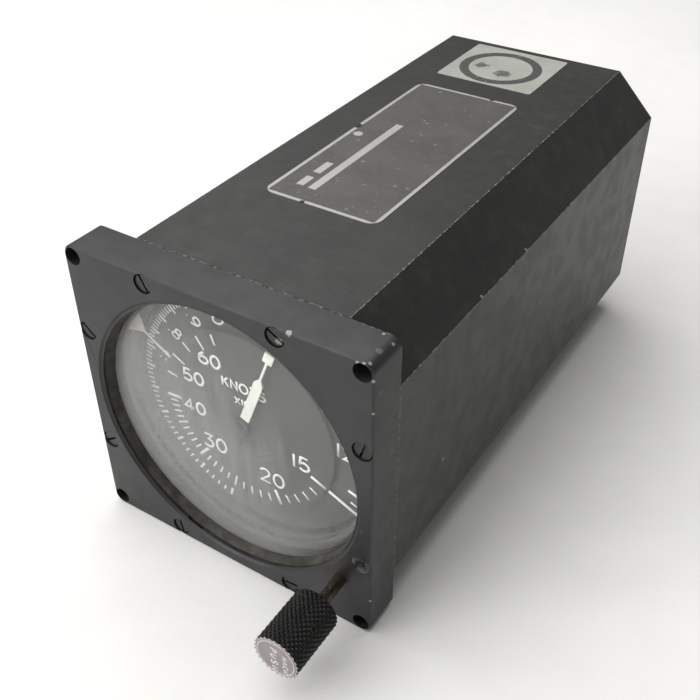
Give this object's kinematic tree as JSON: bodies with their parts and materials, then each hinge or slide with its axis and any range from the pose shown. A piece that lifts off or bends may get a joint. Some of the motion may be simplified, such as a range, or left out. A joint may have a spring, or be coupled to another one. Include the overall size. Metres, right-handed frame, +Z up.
{
  "type": "airspeed indicator",
  "caption": "Panel-mounted aircraft airspeed and Mach indicator: square flange with round window, pointer over stepped dials, knurled push knob, long chamfered case with rear pressure ports.",
  "frame": {"origin": "on the instrument's axis in the rear face of the flange, the plane that lies on the panel", "axes": "+X right seen from the front, +Y rearwards along the case, +Z up; the dial faces -Y"},
  "size_m": [0.0826, 0.2005, 0.0826],
  "materials": {
    "black_paint": "worn satin black paint",
    "case_paint": "worn satin black paint",
    "screw_metal": "dull plated steel with traces of black",
    "lacquer": "glossy sealing lacquer",
    "blued_spring": "black spring steel",
    "brown_ring": "mottled brown black",
    "window_glass": "clear, slightly hazed",
    "seal_rubber": "matt",
    "dial_black": "matt dial black",
    "pointer_white": "aged cream white",
    "index_ring_a": "faded orange index on a black ring",
    "index_ring_b": "white index on a black ring",
    "brass_part": "turned",
    "steel_part": "ground",
    "light_alloy": "machined",
    "knob_black": "black anodised diamond knurl",
    "cap_purple": "faded purple grey anodised",
    "plate_foil": "faded anodised foil",
    "label_paper": "faded film",
    "capsule_metal": "copper alloy",
    "hair_blue": "blued",
    "bearing_red": "synthetic jewel"
  },
  "bodies": {
    "instrument": {"bezel_flange": "black_paint", "bezel_screws": "screw_metal", "screw_seal": "lacquer", "snap_ring": "blued_spring", "clamp_ring": "brown_ring", "cover_glass": "window_glass", "window_gasket": "seal_rubber", "airspeed_dial": "dial_black", "scale_mask": "dial_black", "index_guide_studs": "brass_part", "knob_bushing": "brass_part", "shaft_seal": "seal_rubber", "knob_spring": "steel_part", "case_shell": "case_paint", "case_gasket": "seal_rubber", "data_plate": "plate_foil", "square_label": "label_paper", "dial_tube": "brass_part", "hairspring": "hair_blue", "hairspring_stud": "brass_part", "standoffs": "steel_part", "front_plate": "light_alloy", "middle_plate": "light_alloy", "rear_plate": "light_alloy", "front_pillars": "brass_part", "rear_pillars": "brass_part", "frame_screws": "steel_part", "pivot_bearings": "bearing_red", "airspeed_capsule": "capsule_metal", "pitot_block": "brass_part", "capsule_bars": "light_alloy", "aneroid_capsule": "capsule_metal", "aneroid_stud": "brass_part", "pitot_tube": "capsule_metal", "pitot_fitting": "steel_part", "static_fitting": "steel_part", "port_washers": "light_alloy", "port_nuts": "steel_part"},
    "pointer_body": {"pointer": "pointer_white", "pointer_staff": "steel_part", "pointer_pinion": "brass_part"},
    "airspeed_rocker": {"airspeed_rocking_shaft": "steel_part", "airspeed_sector": "brass_part", "airspeed_lever": "steel_part"},
    "airspeed_post_body": {"airspeed_post": "steel_part"},
    "mach_body": {"mach_disc": "dial_black", "mach_sleeve": "brass_part", "mach_gear": "brass_part"},
    "aneroid_rocker": {"aneroid_rocking_shaft": "steel_part", "aneroid_sector": "brass_part", "aneroid_lever": "steel_part"},
    "aneroid_post_body": {"aneroid_post": "steel_part"},
    "mach_index_body": {"mach_index_ring": "index_ring_a"},
    "airspeed_index_body": {"airspeed_index_ring": "index_ring_b"},
    "push_body": {"push_collar": "steel_part"},
    "knob_body": {"knob": "knob_black", "knob_cap": "cap_purple", "knob_set_screw": "brass_part", "knob_shaft": "steel_part", "index_pinion": "brass_part"}
  },
  "joints": [
    {"name": "pointer_turn", "type": "hinge", "parent": "instrument", "child": "pointer_body", "pos_m": [0, 0, 0], "axis": [0, 1, 0], "range_deg": [0, 318], "deforming": ["hairspring", "airspeed_capsule"]},
    {"name": "airspeed_rocker_turn", "type": "hinge", "parent": "instrument", "child": "airspeed_rocker", "pos_m": [-0.018, 0.06, -0.01587], "axis": [0, 1, 0], "range_deg": [-46, 0]},
    {"name": "airspeed_post_lift", "type": "slide", "parent": "instrument", "child": "airspeed_post_body", "axis": [0, 0, 1], "range_m": [0, 0.0039]},
    {"name": "mach_disc_turn", "type": "hinge", "parent": "instrument", "child": "mach_body", "pos_m": [0, 0, 0], "axis": [0, 1, 0], "range_deg": [0, 100], "deforming": ["aneroid_capsule"]},
    {"name": "aneroid_rocker_turn", "type": "hinge", "parent": "instrument", "child": "aneroid_rocker", "pos_m": [0.02001, 0.06, 0.01959], "axis": [0, 1, 0], "range_deg": [-40.5, 0]},
    {"name": "aneroid_post_lift", "type": "slide", "parent": "instrument", "child": "aneroid_post_body", "axis": [0, 0, -1], "range_m": [0, 0.0035]},
    {"name": "knob_push", "type": "slide", "parent": "instrument", "child": "push_body", "axis": [0, 1, 0], "range_m": [0, 0.0014], "stiffness_N_per_m": 900, "springref_m": -0.002, "deforming": ["knob_spring"]},
    {"name": "knob_turn", "type": "hinge", "parent": "push_body", "child": "knob_body", "pos_m": [0.03287, 0, -0.02615], "axis": [0, 1, 0], "continuous": true},
    {"name": "mach_index_turn", "type": "hinge", "parent": "instrument", "child": "mach_index_body", "pos_m": [0, 0, 0], "axis": [0, 1, 0], "continuous": true},
    {"name": "airspeed_index_turn", "type": "hinge", "parent": "instrument", "child": "airspeed_index_body", "pos_m": [0, 0, 0], "axis": [0, 1, 0], "continuous": true}
  ],
  "couplings": [
    {"joint": "airspeed_rocker_turn", "follows": "pointer_turn", "ratio": -0.14286},
    {"joint": "airspeed_post_lift", "follows": "pointer_turn", "m_per_rad": 0.00069572},
    {"joint": "aneroid_rocker_turn", "follows": "mach_disc_turn", "ratio": -0.4},
    {"joint": "aneroid_post_lift", "follows": "mach_disc_turn", "m_per_rad": 0.0019596},
    {"joint": "mach_index_turn", "follows": "knob_turn", "ratio": -0.12903}
  ]
}
